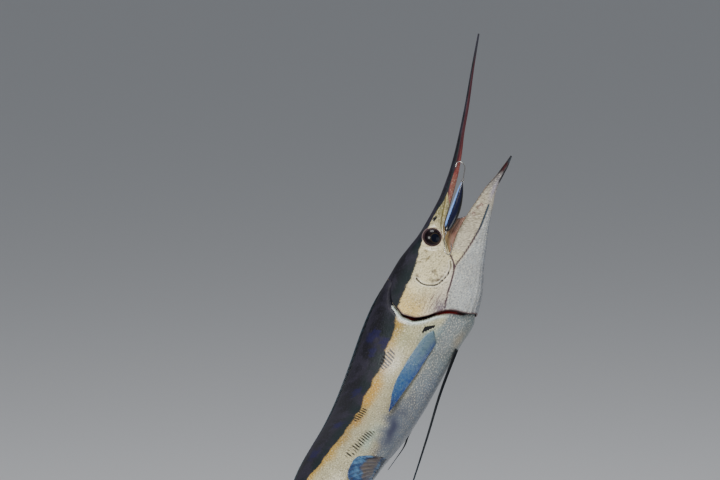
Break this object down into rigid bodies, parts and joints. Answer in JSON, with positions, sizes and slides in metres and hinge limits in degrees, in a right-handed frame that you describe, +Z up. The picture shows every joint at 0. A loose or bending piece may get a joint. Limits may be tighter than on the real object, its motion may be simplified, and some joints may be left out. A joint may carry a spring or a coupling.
{
  "type": "shortbill spearfish",
  "caption": "Life-size still model of a leaping shortbill spearfish with an open mouth and a lure at its lip, on a plain board with steel rods.",
  "frame": {"origin": "centre of the stand's underside", "axes": "+Z up, the fish's right side faces -Y, its back faces -X and its bill points up"},
  "size_m": [0.7296, 1.1706, 1.3557],
  "materials": {
    "fish_skin": "wet, glossy scaled skin, dark navy back, cream flank and pale belly",
    "bill_skin": "dark maroon, satin",
    "fin_membrane": "thin ribbed membrane, steel blue to cobalt, satin",
    "eye": "wet and very glossy, dark iris and pupil",
    "gill_filament": "wet dark red filaments",
    "lure_paint": "glossy lacquer, cobalt blue with a pale side",
    "hook_steel": "dull wire",
    "stand_board": "dark stained, satin",
    "stand_steel": "satin"
  },
  "bodies": {
    "root": {"bill": "bill_skin", "head": "fish_skin", "lower_jaw": "fish_skin", "throat": "fish_skin", "mouth_web_right": "fish_skin", "mouth_web_left": "fish_skin", "nape": "fish_skin", "gill_cover_right": "fish_skin", "gill_cover_left": "fish_skin", "gills_right": "gill_filament", "gills_left": "gill_filament", "eye_right": "eye", "eye_left": "eye", "trunk_front": "fish_skin", "trunk_middle": "fish_skin", "trunk_rear": "fish_skin", "tail": "fish_skin", "dorsal_fin_front": "fin_membrane", "dorsal_fin_middle": "fin_membrane", "dorsal_fin_rear": "fin_membrane", "dorsal_fin_second": "fin_membrane", "anal_fin_first": "fin_membrane", "anal_fin_second": "fin_membrane", "pectoral_fin_right": "fin_membrane", "pectoral_fin_left": "fin_membrane", "pelvic_fin_right": "fin_membrane", "pelvic_fin_left": "fin_membrane", "tail_fin_upper": "fin_membrane", "tail_fin_lower": "fin_membrane", "lure_body": "lure_paint", "lure_hook_front": "hook_steel", "lure_hook_rear": "hook_steel", "stand_base": "stand_board", "stand_rod_front": "stand_steel", "stand_rod_rear": "stand_steel"}
  },
  "joints": []
}
